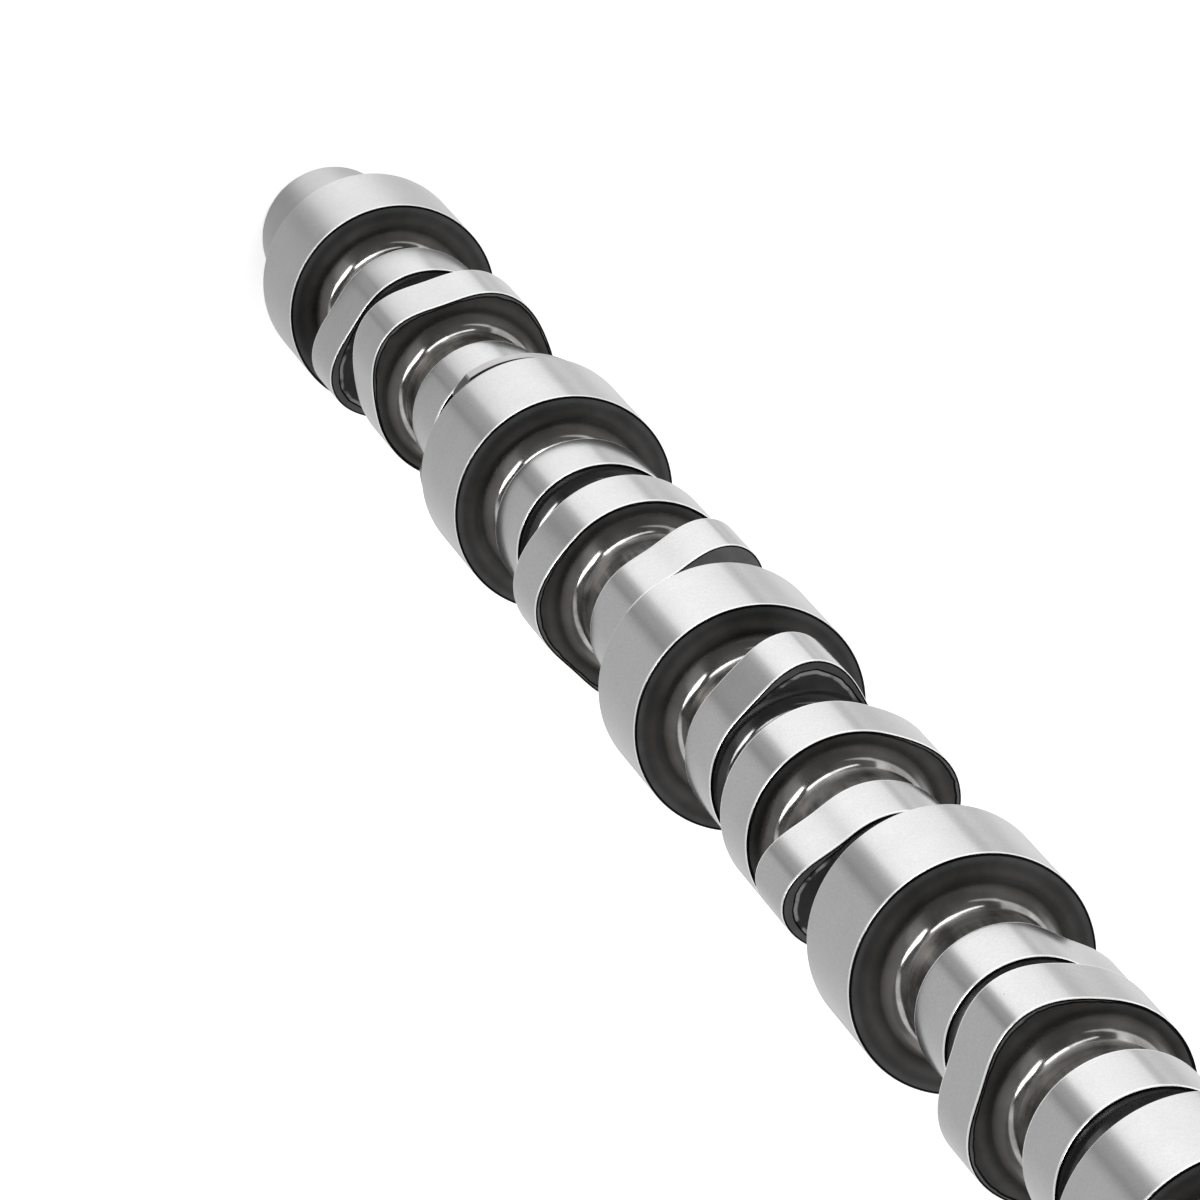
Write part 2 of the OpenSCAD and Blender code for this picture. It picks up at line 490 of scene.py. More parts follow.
def disc(name, disc_radius, width):
    """A cylinder at the origin, the start of a lobe or a journal."""
    bpy.ops.object.select_all(action="DESELECT")
    bpy.ops.mesh.primitive_cylinder_add(vertices=COLUMNS, radius=disc_radius * MM,
                                        depth=width * MM, location=(0, 0, 0))
    piece = bpy.context.object
    piece.name = name
    return piece


def edge_rings(piece, width):
    """Cuts a ring of points near each edge of the running surface, where its painted highlight
    ends.
    """
    for z in (width / 2 - LINE, LINE - width / 2):
        bpy.ops.mesh.select_all(action="SELECT")
        bpy.ops.mesh.bisect(plane_co=(0, 0, z * MM), plane_no=(0, 0, 1))


def measure_gaps(piece, outline, ridge, rear_share=1.6, is_valve=0.0):
    """Keeps, at each point, how far it lies inside the ground outline, inside the skin's
    ridge and from the ends of the running surface, and whether it is a valve lobe's."""
    data = piece.data
    gap, step, rim, valve = (data.attributes.new(name, "FLOAT", "POINT") for name in
                             ("edge_gap", "ridge_gap", "rim_gap", "valve_side"))
    for i, point in enumerate(data.vertices):
        p = point.co / MM
        angle = math.degrees(math.atan2(p.y, p.x))
        gap.data[i].value = outline(angle) - radius(p)
        step.data[i].value = ridge(angle) - radius(p)
        valve.data[i].value = is_valve
    running = [p.co.z / MM for p, g in zip(data.vertices, gap.data) if g.value < FLUSH]
    for i, point in enumerate(data.vertices):
        inside = min(max(running) - point.co.z / MM, rear_share * (point.co.z / MM - min(running)))
        rim.data[i].value = inside if gap.data[i].value < FLUSH else 0.0


# %% [markdown]
# ## Lobes
# A lobe is a disc whose columns of points are pushed out to the cam's lift. Only its
# running surface is ground. On the side faces the forging's own skin is left, and a
# small ragged step shows where the grinding allowance of the nose began.

# %% The step on a lobe's side face
STEP_DEPTH = 0.16
STEP_HALF_W = 0.12
# How far the step lies inside the outline where the lobe is round
STEP_IN = 0.85
# Where the skin begins below the ground outline, and how far apart rings stay at the
# fillet's foot
SKIN_START = 0.62
APART = (0.14, 0.1, 0.05)
# How far below the nose each kind's step lies, and how its faces are finished: 0 for the
# brake lobe, 1 and more for the valve lobes, whose faces are more matt and are darkened
# with painted shade for the crevices between the lobes
NOSE_STEP = {"exhaust": 2.0, "brake": 0.7, "intake": 2.2, "intake_even": 9.0}
VALVE_SIDE = {"exhaust": 1.0, "brake": 0.0, "intake": 1.5, "intake_even": 2.0}


def ragged(a):
    """A small uneven wander round the shaft, the same in every run."""
    r = math.radians(a)
    return (0.45 * math.sin(7 * r + 1.3) + 0.35 * math.sin(17 * r + 0.4)
            + 0.3 * math.sin(31 * r + 2.2) + 0.25 * math.sin(47 * r + 0.9))


def ridge_of(kind):
    """Radius of the step on the side face: deep below a nose, close to the rim elsewhere."""
    outline, base = OUTLINES[kind], BASES[kind]
    top = max(outline(a) for a in range(360)) - base

    def ridge(a):
        share = (outline(a) - base) / top
        wander = 0.2 * ragged(a) * (0.3 + share)
        return outline(a) - STEP_IN - NOSE_STEP[kind] * share ** 0.7 + wander

    return ridge


print("step on a lobe's side face:", STEP_DEPTH, "mm deep")


# %% A lobe
def lobe(kind):
    """One lobe of a kind, from a disc, and how far its necks reach from its middle."""
    outline, ridge, base = OUTLINES[kind], ridge_of(kind), BASES[kind]
    fillet = min(JOURNAL_FILLET, base - 0.5 - SHAFT_R)
    foot = SHAFT_R + fillet
    piece = disc("lobe_" + kind, base, LOBE_W)
    edit(piece)
    bpy.ops.mesh.select_all(action="SELECT")
    set_columns(piece, outline)
    bpy.ops.mesh.select_mode(type="EDGE")
    pick_edges(piece, level)
    bpy.ops.mesh.bevel(offset=RIM * MM, segments=3, affect="EDGES")
    edge_rings(piece, LOBE_W - 2 * RIM)
    for side in (1, -1):
        rings(piece, side, None, (
            (lambda a: max(outline(a) - SKIN_START, foot + APART[0]), 0),
            (lambda a: max(ridge(a) + STEP_HALF_W, foot + APART[1]), 0),
            (lambda a: max(ridge(a) - STEP_HALF_W, foot + APART[2]), -STEP_DEPTH),
            (lambda a: foot, 0)))
        fillet_down(piece, side, fillet)
        open_neck(piece, side)
    bpy.ops.object.mode_set(mode="OBJECT")
    measure_gaps(piece, outline, ridge, is_valve=VALVE_SIDE[kind])
    return piece, (LOBE_W / 2 - STEP_DEPTH + fillet,) * 2


# %% One master of each kind
masters = {}
reach = {}
for kind in OUTLINES:
    masters[kind], reach[kind] = lobe(kind)
    print(kind, "lobe:", len(masters[kind].data.polygons), "faces")

# %% [markdown]
# ## Journals
# A journal is a disc whose edges are cut a little, the rear one more than the front
# one. The corner where the cut meets the ground surface is rounded, because a stone
# takes its sharpness off, and it catches the thin line of light round every journal;
# the ground steel also paints that line lighter, as a painted highlight.


# %% A journal and its sides
# Width of the narrow ring at the outside and inside of a journal's face
OUTER_RING = 0.35
INNER_RING = 0.4
SPIGOT_CHAMFER = 1.0


def journal(name, width):
    """The running surface of a journal, with both of its edges cut and rounded."""
    piece = disc(name, JOURNAL_R, width)
    edit(piece)
    bpy.ops.mesh.select_mode(type="EDGE")
    for side, cut in EDGE_CUT.items():
        pick_edges(piece, lambda a, b: min(a.z * side, b.z * side) > width / 2 - NEAR)
        bpy.ops.mesh.bevel(offset=cut * MM, segments=1, affect="EDGES")
        pick_edges(piece, lambda a, b: min(radius(a), radius(b)) > JOURNAL_R - NEAR
                   and level(a, b) and a.z * side > 0)
        bpy.ops.mesh.bevel(offset=CORNER * MM, segments=2, affect="EDGES")
    edge_rings(piece, width - 1)
    return piece


def journal_side(piece, side):
    """Face, fillet and open neck on one side of a journal."""
    edge = JOURNAL_R - EDGE_CUT[side]
    foot = SHAFT_R + JOURNAL_FILLET
    rings(piece, side, edge, ((edge - OUTER_RING, 0), (foot + INNER_RING, 0), (foot, 0)))
    fillet_down(piece, side, JOURNAL_FILLET)
    open_neck(piece, side)


def spigot(piece, side, length):
    """A plain round end with a chamfer and a lathe centre in its face."""
    edge = JOURNAL_R - EDGE_CUT[side]
    rings(piece, side, edge, (
        (edge - OUTER_RING, 0), (SPIGOT_R, 0), (SPIGOT_R, INNER_RING),
        (SPIGOT_R, length - SPIGOT_CHAMFER - INNER_RING),
        (SPIGOT_R - SPIGOT_CHAMFER, SPIGOT_CHAMFER),
        (SPIGOT_R - SPIGOT_CHAMFER - INNER_RING, 0)))
    # The lathe centre: its mouth, the small cut on its edge and its cone
    rings(piece, side, SPIGOT_R - SPIGOT_CHAMFER - INNER_RING, (
        (5.2, 0), (4.86, -0.25), (0.7, -7.2)))
    select_cap(piece, side)
    bpy.ops.mesh.merge(type="CENTER")


def finish_journal(piece):
    """Measures a finished journal. It has no step, and no painted highlight at its rear edge."""
    bpy.ops.object.mode_set(mode="OBJECT")
    measure_gaps(piece, lambda a: JOURNAL_R, lambda a: 100, rear_share=8)
    print(piece.name, len(piece.data.polygons), "faces")
    return piece


# %% Plain, rear and front journal
plain = journal("journal", JOURNAL_W)
journal_side(plain, 1)
journal_side(plain, -1)
masters["journal"] = finish_journal(plain)

rear = journal("journal_rear", JOURNAL_W)
journal_side(rear, 1)
spigot(rear, -1, REAR_LENGTH)
masters["rear"] = finish_journal(rear)

front = journal("journal_front", JOURNAL_W)
journal_side(front, -1)
spigot(front, 1, FRONT_LENGTH)
masters["front"] = finish_journal(front)
half = JOURNAL_W / 2
reach.update(journal=(half + JOURNAL_FILLET,) * 2, rear=(None, half + JOURNAL_FILLET),
             front=(half + JOURNAL_FILLET, None))

# %% [markdown]
# ## Collar
# Behind the second journal the forging keeps a collar with a notch milled into it,
# which marks the shaft's position while it is timed. The collar is drawn out of the
# journal's rear cap, past a shallow relief. The notch is cut with a Boolean, as a
# cutter would, in two cuts: a wide flat, and a deeper slot in its middle.

# %% Journal with the collar
collared = journal("journal_collar", JOURNAL_W + 2)
journal_side(collared, 1)
relief_r = COLLAR_R - RELIEF
rings(collared, -1, JOURNAL_R - EDGE_CUT[-1], (
    (relief_r, 0), (relief_r, RELIEF_W), (COLLAR_R, RELIEF_END),
    (COLLAR_R, COLLAR_W - RELIEF_W - RELIEF_END - COLLAR_EDGE),
    (COLLAR_R - COLLAR_EDGE, COLLAR_EDGE), (SHAFT_R + COLLAR_FILLET, 0)))
fillet_down(collared, -1, COLLAR_FILLET)
bpy.ops.object.mode_set(mode="OBJECT")
half_collared = JOURNAL_W / 2 + 1
reach["collar"] = (half_collared + COLLAR_W + COLLAR_FILLET, half_collared + JOURNAL_FILLET)
print("collar:", 2 * COLLAR_R, "mm across,", COLLAR_W, "mm wide")

# %% Notch
depth = COLLAR_W + 1
far = COLLAR_R + 10
for floor_r, half_width, clear in NOTCH_CUTS:
    bpy.ops.object.select_all(action="DESELECT")
    bpy.ops.mesh.primitive_cube_add(
        size=1,
        location=((floor_r + far) / 2 * MM, 0, -(half_collared + clear + depth / 2) * MM),
        scale=((far - floor_r) * MM, 2 * half_width * MM, depth * MM))
    cutter = bpy.context.object
    bpy.ops.object.transform_apply(location=True, rotation=True, scale=True)
    cutter.rotation_euler.z = math.radians(NOTCH_ANGLE)
    bpy.ops.object.transform_apply(location=True, rotation=True, scale=True)

    bpy.ops.object.select_all(action="DESELECT")
    collared.select_set(True)
    bpy.context.view_layer.objects.active = collared
    cut = collared.modifiers.new("notch", "BOOLEAN")
    cut.operation = "DIFFERENCE"
    cut.solver = "EXACT"
    cut.object = cutter
    bpy.ops.object.modifier_apply(modifier=cut.name)
    bpy.data.objects.remove(cutter)
print("notch cut to", [c[0] for c in NOTCH_CUTS], "mm from the axis")
edit(collared)
open_neck(collared, -1)
masters["collar"] = finish_journal(collared)

# %% [markdown]
# ## Which faces are ground
# The grinding wheel reaches only the running surfaces and their rounded corners.
# The spigots, the end faces and the collar are only turned.
# All else keeps the dark skin that it has from the forge and the hardening.

# %% Materials, still plain
ground = bpy.data.materials.new("ground_steel")
skin = bpy.data.materials.new("forged_skin")
turned = bpy.data.materials.new("turned_steel")


def mark_faces(piece, slot, test):
    """Puts the faces that pass the test into one of the piece's material slots."""
    edit(piece)
    bpy.ops.mesh.select_mode(type="FACE")
    mesh = bmesh.from_edit_mesh(piece.data)
    gap = mesh.verts.layers.float["edge_gap"]
    count = 0
    for face in mesh.faces:
        middle = face.calc_center_median() / MM
        if test(middle, face.normal, max(v[gap] for v in face.verts)):
            face.select_set(True)
            count += 1
    bmesh.update_edit_mesh(piece.data)
    piece.active_material_index = slot
    bpy.ops.object.material_slot_assign()
    bpy.ops.object.mode_set(mode="OBJECT")
    return count


# %% Marking the faces
# Places of the finishes in each piece's list; the skin comes first, at 0
GROUND, TURNED = 1, 2
# How far below the ground outline the wheel's bright corner reaches
LOBE_REACH = RIM * 0.66
JOURNAL_REACH = 0.2
notch = Vector((math.cos(math.radians(NOTCH_ANGLE)), math.sin(math.radians(NOTCH_ANGLE)), 0))
for name, piece in masters.items():
    for material in (skin, ground, turned):
        piece.data.materials.append(material)
    limit = LOBE_REACH if name in OUTLINES else JOURNAL_REACH
    count = mark_faces(piece, GROUND, lambda m, n, g: g < limit)
    if name in ("rear", "front"):
        outer = 1 if name == "front" else -1
        mark_faces(piece, TURNED, lambda m, n, g: radius(m) < SPIGOT_R + NEAR
                   and m.z * outer > half + 0.05)
    if name == "collar":
        mark_faces(piece, TURNED, lambda m, n, g: m.z < -half_collared - NEAR and abs(n.z) < 0.5
                   and (radius(m) > COLLAR_R - RELIEF - 0.1 or n.dot(notch) > 0.999))
    print(name, "ground faces:", count)

# %% [markdown]
# ## Setting up the shaft
# Each journal and lobe is a copy of its master with its own mesh, turned to its
# cylinder's phase. Its front neck is then drawn out until it meets the next one.

# %% Where everything goes
def even_z(i):
    """Even height of the middle of journal i."""
    return REAR_LENGTH + JOURNAL_W / 2 + i * PITCH


def lobe_z(i, k):
    """Height of the middle of lobe k (-1, 0 or 1) of cylinder i."""
    shift = THIRD_LOBE_SHIFT[i] if k == 1 else 0
    return even_z(i) + PITCH / 2 - LOBE_SETBACK + k * LOBE_PITCH + shift


places = []
CYLINDERS = len(PHASES)
for i in range(CYLINDERS + 1):
    kind = {0: "rear", COLLAR_JOURNAL: "collar", CYLINDERS: "front"}.get(i, "journal")
    places.append((even_z(i) + JOURNAL_SHIFT[i], kind, 0))
    if i < CYLINDERS:
        first, last = ("exhaust", "intake") if i < MIRRORED_FROM else ("intake", "exhaust")
        if i == EVEN_CYLINDER:
            last += "_even"
        for k, kind in ((-1, first), (0, "brake"), (1, last)):
            places.append((lobe_z(i, k), kind, PHASES[i]))
print(len(places), "journals and lobes")

# %% Copies
copies = []
for n, (z, kind, phase) in enumerate(places):
    bpy.ops.object.select_all(action="DESELECT")
    master = masters[kind]
    master.select_set(True)
    bpy.context.view_layer.objects.active = master
    bpy.ops.object.duplicate(linked=False)
    copy = bpy.context.object
    copy.location.z = z * MM
    copy.rotation_euler.z = math.radians(phase)
    bpy.ops.object.transform_apply(location=True, rotation=True, scale=True)
    if n + 1 < len(places):
        neck = z + reach[kind][1]
        next_z, next_kind, _ = places[n + 1]
        gap = next_z - reach[next_kind][0] - neck
        edit(copy)
        pick(copy, lambda p: abs(p.z - neck) < NEAR and radius(p) < SHAFT_R + NEAR)
        bpy.ops.mesh.extrude_region_move(TRANSFORM_OT_translate={"value": (0, 0, gap * MM)})
        bpy.ops.object.mode_set(mode="OBJECT")
    copies.append(copy)

for master in masters.values():
    bpy.data.objects.remove(master)
print(len(copies), "copies set up")

# %% One shaft
bpy.ops.object.select_all(action="DESELECT")
for copy in copies:
    copy.select_set(True)
bpy.context.view_layer.objects.active = copies[0]
bpy.ops.object.join()
shaft = bpy.context.object
shaft.name = "camshaft_steel"
edit(shaft)
bpy.ops.mesh.select_all(action="SELECT")
bpy.ops.mesh.remove_doubles(threshold=2 * NEAR * MM)
bpy.ops.mesh.normals_make_consistent(inside=False)
bpy.ops.object.mode_set(mode="OBJECT")

mesh = bmesh.new()
mesh.from_mesh(shaft.data)
print("open edges:", sum(1 for e in mesh.edges if len(e.link_faces) != 2),
      "volume cm3:", round(mesh.calc_volume() * 1e6, 1))
mesh.free()
print("triangles:", sum(len(p.vertices) - 2 for p in shaft.data.polygons))

# %% [markdown]
# ## Smooth shading
# Faces that meet at less than 30 degrees shade as one round surface, and sharper
# corners stay sharp. Weighted normals then let the large faces stay flat, so that only
# the narrow rings beside them bend the light.

# %% Shading
SHARPEST = 30
bpy.ops.object.select_all(action="DESELECT")
shaft.select_set(True)
bpy.context.view_layer.objects.active = shaft
bpy.ops.object.shade_smooth_by_angle(angle=math.radians(SHARPEST), keep_sharp_edges=False)
even = shaft.modifiers.new("even_normals", "WEIGHTED_NORMAL")
even.keep_sharp = True
bpy.ops.object.modifier_apply(modifier=even.name)
print("smooth faces:", sum(p.use_smooth for p in shaft.data.polygons))

# %% [markdown]
# ## Finishes
# Two effects serve more than one finish, so they are node groups: the fine lines
# that a tool or a stone leaves round the axis, and small pits.

# %% Helpers for finishes
def new_group(name, inputs, outputs):
    """A node group with its number inputs, given with their values, and its outputs."""
    tree = bpy.data.node_groups.new(name, "ShaderNodeTree")
    for socket, value in inputs:
        made = tree.interface.new_socket(socket, in_out="INPUT", socket_type="NodeSocketFloat")
        made.default_value = value
    for socket in outputs:
        tree.interface.new_socket(socket, in_out="OUTPUT", socket_type="NodeSocketFloat")
    return tree, tree.nodes.new("NodeGroupInput"), tree.nodes.new("NodeGroupOutput")


class Bench:
    """Short names for adding and linking nodes in one tree."""

    def __init__(self, tree):
        self.tree = tree

    def put(self, socket, value):
        """Sets a socket to a plain value or links it to another."""
        if isinstance(value, (int, float, tuple)):
            socket.default_value = value
        else:
            self.tree.links.new(value, socket)

    def math(self, operation, *values):
        """A Math node on sockets or plain numbers."""
        node = self.tree.nodes.new("ShaderNodeMath")
        node.operation = operation
        for socket, value in zip(node.inputs, values):
            self.put(socket, value)
        return node.outputs[0]

    def ease(self, value, low, high, to_low=0.0, to_high=1.0):
        """to_low below low, to_high above high, eased between."""
        node = self.tree.nodes.new("ShaderNodeMapRange")
        node.interpolation_type = "SMOOTHSTEP"
        for name, v in (("Value", value), ("From Min", low), ("From Max", high),
                        ("To Min", to_low), ("To Max", to_high)):
            self.put(node.inputs[name], v)
        return node.outputs["Result"]

    def axis_place(self):
        """The distance from the axis and the height along it, in millimetres, and the
        place itself, in metres."""
        where = self.tree.nodes.new("ShaderNodeTexCoord")
        split = self.tree.nodes.new("ShaderNodeSeparateXYZ")
        self.tree.links.new(where.outputs["Object"], split.inputs[0])
        flat = self.math("SQRT", self.math(
            "ADD", self.math("MULTIPLY", split.outputs["X"], split.outputs["X"]),
            self.math("MULTIPLY", split.outputs["Y"], split.outputs["Y"])))
        return (self.math("MULTIPLY", flat, 1000), self.math("MULTIPLY", split.outputs["Z"], 1000),
                where.outputs["Object"])

    def noise(self, vector, scale, detail=2.0, w=None):
        """Soft noise in space, or along one number where w is given."""
        node = self.tree.nodes.new("ShaderNodeTexNoise")
        if w is not None:
            node.noise_dimensions = "1D"
            self.put(node.inputs["W"], w)
        else:
            self.put(node.inputs["Vector"], vector)
        node.inputs["Scale"].default_value = scale
        node.inputs["Detail"].default_value = detail
        return node.outputs[0]


# %% Node groups
tree, given, result = new_group(
    "tool_lines", [("Lines per mm", 6.0), ("Radial share", 1.0)], ["Lines"])
bench = Bench(tree)
away, along, spot = bench.axis_place()
wander = bench.noise(spot, 60.0)
place = bench.math("ADD", along, bench.math("MULTIPLY", away, given.outputs["Radial share"]))
place = bench.math("ADD", place, bench.math("MULTIPLY", wander, 0.15))
lines = bench.noise(None, 1.0, 2.0, bench.math("MULTIPLY", place, given.outputs["Lines per mm"]))
tree.links.new(lines, result.inputs["Lines"])
tool_lines = tree

tree, given, result = new_group("pits", [("Size mm", 3.0), ("Share", 0.1)], ["Pits"])
bench = Bench(tree)
_, _, spot = bench.axis_place()
cells = tree.nodes.new("ShaderNodeTexVoronoi")
tree.links.new(spot, cells.inputs["Vector"])
bench.put(cells.inputs["Scale"], bench.math("DIVIDE", 1000, given.outputs["Size mm"]))
lucky = tree.nodes.new("ShaderNodeSeparateColor")
tree.links.new(cells.outputs["Color"], lucky.inputs[0])
chosen = bench.math("LESS_THAN", lucky.outputs[0], given.outputs["Share"])
reach_of_pit = bench.math("MULTIPLY", lucky.outputs[1], 0.07)
near = bench.math("LESS_THAN", cells.outputs["Distance"], reach_of_pit)
tree.links.new(bench.math("MULTIPLY", chosen, near), result.inputs["Pits"])
pits = tree
print("node groups:", [g.name for g in bpy.data.node_groups])


# %% Helpers for one finish
def start_material(material):
    """Turns on a material's nodes and gives them with its shader."""
    material.use_nodes = True
    tree = material.node_tree
    return Bench(tree), tree.nodes["Principled BSDF"]


def use_group(bench, group, **values):
    """One use of a node group with its own values."""
    node = bench.tree.nodes.new("ShaderNodeGroup")
    node.node_tree = group
    for name, value in values.items():
        node.inputs[name.replace("_", " ")].default_value = value
    return node.outputs[0]


def add_bump(bench, shader, height, distance_mm):
    """Lets a height roughen the surface by up to a distance."""
    node = bench.tree.nodes.new("ShaderNodeBump")
    node.inputs["Strength"].default_value = 1.0
    node.inputs["Distance"].default_value = distance_mm * MM
    bench.tree.links.new(height, node.inputs["Height"])
    bench.tree.links.new(node.outputs[0], shader.inputs["Normal"])


def tone_ramp(bench, value, stops):
    """A colour that follows a value, from stops of a place and a colour."""
    ramp = bench.tree.nodes.new("ShaderNodeValToRGB")
    row = ramp.color_ramp
    row.elements[0].position = stops[0][0]
    row.elements[1].position = stops[-1][0]
    for place, _ in stops[1:-1]:
        row.elements.new(place)
    for element, (_, colour) in zip(row.elements, stops):
        element.color = (*colour, 1)
    bench.tree.links.new(value, ramp.inputs[0])
    return ramp.outputs[0]


def darken(bench, colour, factor):
    """A colour times a factor."""
    node = bench.tree.nodes.new("ShaderNodeVectorMath")
    node.operation = "SCALE"
    bench.tree.links.new(colour, node.inputs[0])
    bench.tree.links.new(factor, node.inputs["Scale"])
    return node.outputs[0]


def blend(bench, share, first, second):
    """The first colour where the share is 0 and the second where it is 1."""
    node = bench.tree.nodes.new("ShaderNodeMix")
    node.data_type = "RGBA"
    bench.put(node.inputs["Factor"], share)
    # A Mix node keeps its two colours in its seventh and eighth input
    bench.put(node.inputs[6], first)
    bench.put(node.inputs[7], second)
    return node.outputs[2]


def attribute(bench, name):
    """A number that was measured at each point of the mesh."""
    node = bench.tree.nodes.new("ShaderNodeAttribute")
    node.attribute_name = name
    return node.outputs["Fac"]


def report(material):
    """Says how many nodes a finished material has."""
    print(material.name, "has", len(material.node_tree.nodes), "nodes")


# %% [markdown]
# ## Ground steel
# A stone leaves fine scratches round the shaft, so a reflection stays crisp across
# them and is drawn out along the shaft. The shader's anisotropy does that, with its
# tangent running round Z and turned by a quarter. The wheel left the rearmost journal
# duller. The thin line at each end of a running surface is a painted highlight: its
# colour is raised and it is made partly non-metallic, so it stays light.

# %% Ground steel
bench, steel = start_material(ground)
steel.inputs["Anisotropic"].default_value = 0.6
steel.inputs["Anisotropic Rotation"].default_value = 0.25
tangent = bench.tree.nodes.new("ShaderNodeTangent")
tangent.direction_type = "RADIAL"
tangent.axis = "Z"
bench.tree.links.new(tangent.outputs[0], steel.inputs["Tangent"])
away, along, spot = bench.axis_place()
# Painted highlight: along the ends of each running surface the colour is raised and the metal
# lessened, so a thin light line shows
rim = bench.ease(attribute(bench, "rim_gap"), 0.3, 0.6, 1.0, 0.0)
bench.tree.links.new(bench.ease(rim, 0, 1, 1.0, 0.45), steel.inputs["Metallic"])
cloud = bench.noise(spot, 90.0, 3.0)
speck = use_group(bench, pits, Size_mm=3.2, Share=0.06)
tone = tone_ramp(bench, cloud, [(0.3, (0.765, 0.765, 0.77)), (0.7, (0.805, 0.805, 0.81))])
grain = bench.ease(bench.noise(spot, 1500.0, 2.0), 0.3, 0.7, 0.965, 1.03)
# Colour factor: darker in pits, lighter along the painted highlight line at the edges, and a fine
# grain
shade = bench.math("MULTIPLY", bench.ease(speck, 0, 1, 1.0, 0.35), bench.ease(rim, 0, 1, 1.0, 1.22))
shade = bench.math("MULTIPLY", shade, grain)
bench.tree.links.new(darken(bench, tone, shade), steel.inputs["Base Color"])
lines = use_group(bench, tool_lines, Lines_per_mm=9.0, Radial_share=0.0)
worn = bench.math("ADD", bench.ease(lines, 0.3, 0.7, 0.08, 0.13),
                  bench.ease(along, 60, 110, 0.20, 0.03))
bench.tree.links.new(worn, steel.inputs["Roughness"])
add_bump(bench, steel, lines, 0.0003)
report(ground)

# %% [markdown]
# ## Forged skin
# Hardening leaves the side faces nearly black. Round the fillets the skin thins out
# to a brownish grey, and the necks were brushed and shine a little. The tone
# therefore follows the distance from the axis, with a darker ring of painted shade where
# a journal's face turns into its fillet. A dark line beside the ground edge is painted
# shade, and one runs along the step; both come from the attributes measured before.
# The valve lobes' skin is darkened further, as painted shade for the crevices between them.

# %% Forged skin: tones from the neck out to the rim
# The ramp runs from the first radius over the span; each tone is given at its radius.
TONES_FROM, TONES_SPAN = 17, 14
# The dark ring at 23.4 to 24 mm, where a journal's face turns into its fillet, is painted shade;
# the other tones are the skin's own
SKIN_AND_SHADE_TONES = (
    (17.6, (0.29, 0.28, 0.265)), (18.6, (0.33, 0.32, 0.31)), (20.5, (0.35, 0.34, 0.33)),
    (21.9, (0.27, 0.262, 0.255)), (22.7, (0.20, 0.182, 0.165)), (23.4, (0.098, 0.094, 0.09)),
    (24.0, (0.105, 0.104, 0.103)), (25.2, (0.195, 0.19, 0.187)), (26.2, (0.23, 0.216, 0.205)),
    (27.6, (0.168, 0.167, 0.166)), (28.4, (0.158, 0.158, 0.158)), (29.4, (0.23, 0.23, 0.23)),
    (31.0, (0.23, 0.23, 0.23)),
)
# Near black into which the valve lobes' skin is blended: painted shade for the crevices between the
# lobes
CREVICE_SHADE_TONE = (0.135, 0.135, 0.137, 1)

bench, steel = start_material(skin)
away, along, spot = bench.axis_place()
wobble = bench.math("MULTIPLY", bench.math("SUBTRACT", bench.noise(spot, 55.0), 0.5), 0.8)
place = bench.math("SUBTRACT", bench.math("ADD", away, wobble), TONES_FROM)
tone = tone_ramp(bench, bench.math("DIVIDE", place, TONES_SPAN),
                 [((r - TONES_FROM) / TONES_SPAN, colour) for r, colour in SKIN_AND_SHADE_TONES])
gap = attribute(bench, "edge_gap")
step = attribute(bench, "ridge_gap")
valve = attribute(bench, "valve_side")
# Painted shade: the valve lobes' faces and fillets are blended towards near black, a little less at
# the neck
crevice_shade_share = bench.math("MULTIPLY", valve, bench.ease(away, 17.5, 20.5, 0.6, 1.0))
tone = blend(bench, crevice_shade_share, tone, CREVICE_SHADE_TONE)
print("skin has", len(SKIN_AND_SHADE_TONES), "tones from neck to rim")

# %% Forged skin: lines along the rim and the step
uneven = bench.math("MULTIPLY", bench.math("SUBTRACT", bench.noise(spot, 420.0, 3.0), 0.5), 0.5)
edge_of_step = bench.math("ADD", step, uneven)
# Painted shade: a dark line on the face beside the ground edge, fading out 0.24 mm farther in; it
# starts 0.50 mm inside the outline on lobes and 0.62 mm on journals
painted_dark = bench.ease(step, 20, 30, 0.50, 0.62)
painted_edge_shade = bench.ease(gap, painted_dark, bench.math("ADD", painted_dark, 0.24), 1.0, 0.0)
band = bench.math("MULTIPLY", bench.ease(edge_of_step, -0.4, -0.25, 1.0, 0.0),
                  bench.ease(gap, 0.4, 0.6))
crack = bench.math("MULTIPLY", bench.ease(edge_of_step, -0.38, -0.28),
                   bench.ease(edge_of_step, 0.08, 0.2, 1.0, 0.0))
nose = bench.ease(bench.math("SUBTRACT", gap, step), 1.5, 2.4)
bright = bench.math("MULTIPLY", bench.ease(edge_of_step, 0.0, 0.2),
                    bench.ease(edge_of_step, 0.8, 1.3, 1.0, 0.0))
bright = bench.math("MULTIPLY", bench.math("MULTIPLY", bright, nose), valve)
bright = bench.math("MULTIPLY", bright, bench.ease(bench.noise(spot, 260.0, 3.0), 0.36, 0.52))
print("lines: burnt rim, band outside the step, crack at it, bright edge inside it")

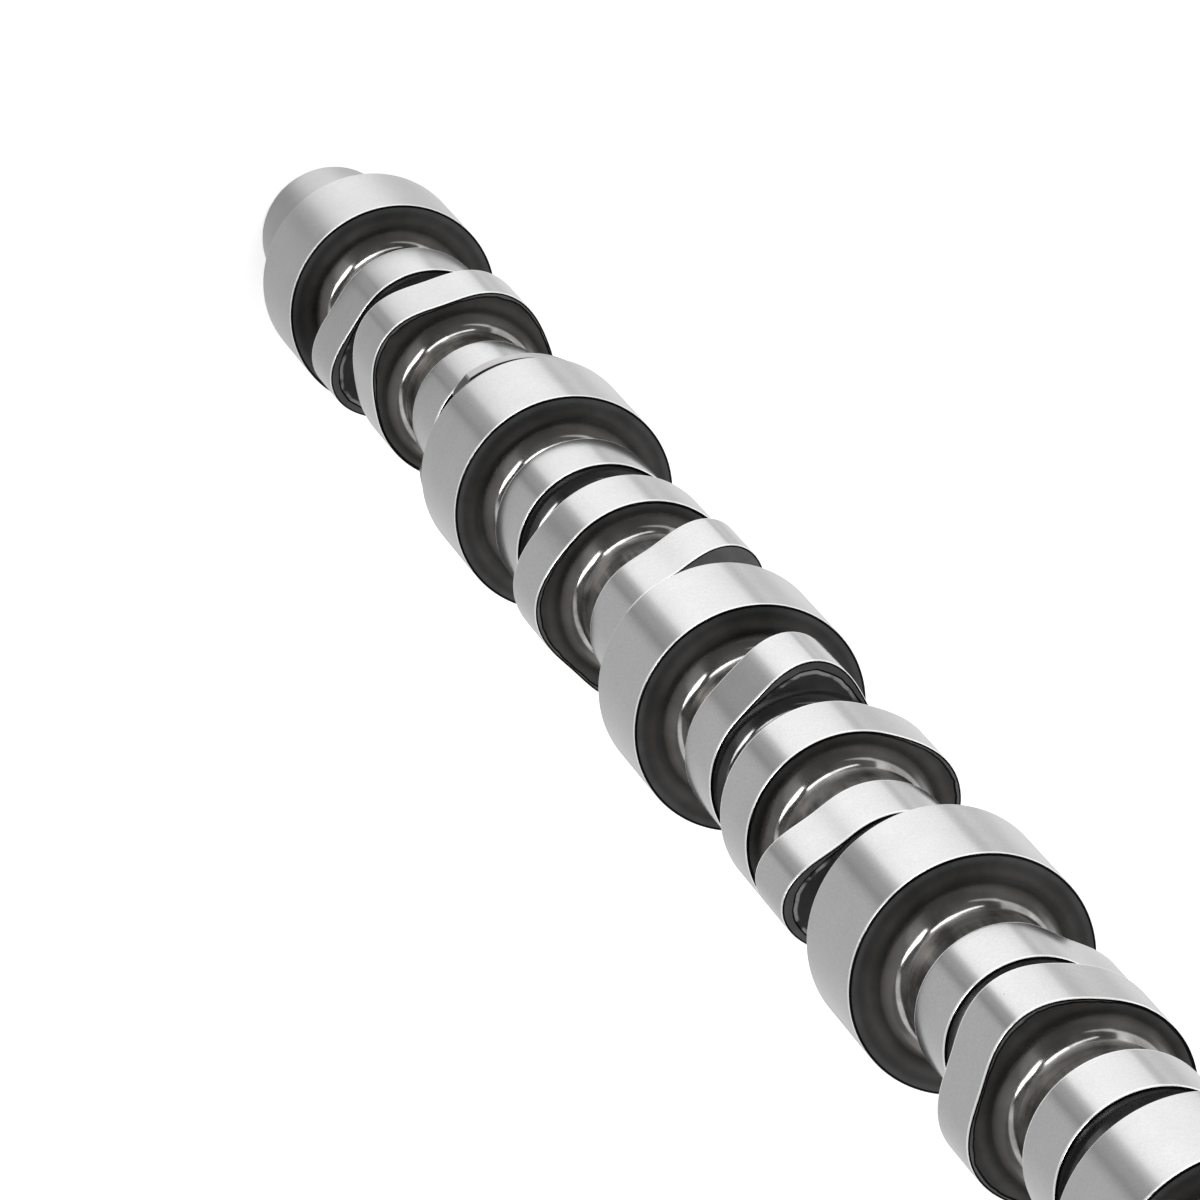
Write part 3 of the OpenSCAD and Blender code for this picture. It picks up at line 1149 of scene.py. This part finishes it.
# %% Forged skin: mottle, colour and gloss
mottle = bench.ease(bench.noise(spot, 130.0, 4.0), 0.32, 0.68, 0.62, 1.6)
brushed = bench.ease(use_group(bench, tool_lines, Lines_per_mm=1.6), 0.3, 0.7, 0.82, 1.2)
mottle = bench.math("MULTIPLY", mottle, bench.math("ADD", 1, bench.math(
    "MULTIPLY", bench.math("SUBTRACT", brushed, 1), bench.ease(away, 18.2, 18.7, 1.0, 0.0))))
mottle = bench.math("ADD", 1, bench.math("MULTIPLY", bench.math("SUBTRACT", mottle, 1),
                                         bench.ease(away, 18.5, 21, 1.0, 0.25)))
factor = bench.math("ADD", 1, bench.math("MULTIPLY", band, bench.ease(valve, 1.5, 2.0, 1.1, 2.0)))
for line, depth in ((painted_edge_shade, 0.95), (crack, 0.85)):
    factor = bench.math("MULTIPLY", factor,
                        bench.math("SUBTRACT", 1, bench.math("MULTIPLY", line, depth)))
factor = bench.math("ADD", factor, bench.math("MULTIPLY", bright, 1.5))
bench.tree.links.new(darken(bench, tone, bench.math("MULTIPLY", factor, mottle)),
                     steel.inputs["Base Color"])
bench.tree.links.new(bench.ease(bright, 0, 1, 1.0, 0.4), steel.inputs["Metallic"])
rough = bench.math("ADD", bench.ease(away, 18.3, 18.8, 0.36, 0.13),
                   bench.ease(away, 20, 25, 0.0, 0.19))
rough = bench.math("ADD", rough, bench.ease(valve, 1, 1.5, 0.0, 0.35))
bench.tree.links.new(rough, steel.inputs["Roughness"])
lines = use_group(bench, tool_lines, Lines_per_mm=2.5)
grain = bench.noise(spot, 900.0, 3.0)
add_bump(bench, steel, bench.math("ADD", bench.math("MULTIPLY", lines, 0.5), grain), 0.004)
report(skin)

# %% [markdown]
# ## Turned steel
# The spigots and end faces were only turned, so they are duller than the journals.
# The collar is duller still, with a brownish film left from the hardening.

# %% Turned steel
bench, steel = start_material(turned)
steel.inputs["Metallic"].default_value = 1
away, along, spot = bench.axis_place()
cloud = bench.noise(spot, 70.0, 4.0)
clean = tone_ramp(bench, cloud, [(0.3, (0.60, 0.60, 0.605)), (0.7, (0.70, 0.70, 0.705))])
film = tone_ramp(bench, cloud, [(0.35, (0.54, 0.53, 0.523)), (0.65, (0.68, 0.672, 0.668))])
both = blend(bench, bench.ease(away, 22, 25), clean, film)
# The notch's floors and the relief lie deeper than the collar; their colour is darkened there as
# painted shade
flat = bench.ease(away, 28.2, 28.75, 0.28, 1.0)
flat = bench.math("MAXIMUM", flat, bench.ease(away, 21.0, 22.0, 1.0, 0.0))
bench.tree.links.new(darken(bench, both, flat), steel.inputs["Base Color"])
steel.inputs["Roughness"].default_value = 0.34
lines = use_group(bench, tool_lines, Lines_per_mm=3.0)
add_bump(bench, steel, lines, 0.003)
report(turned)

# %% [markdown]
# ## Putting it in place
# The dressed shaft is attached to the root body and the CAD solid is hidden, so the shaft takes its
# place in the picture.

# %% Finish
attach(shaft, "root")
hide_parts("camshaft")
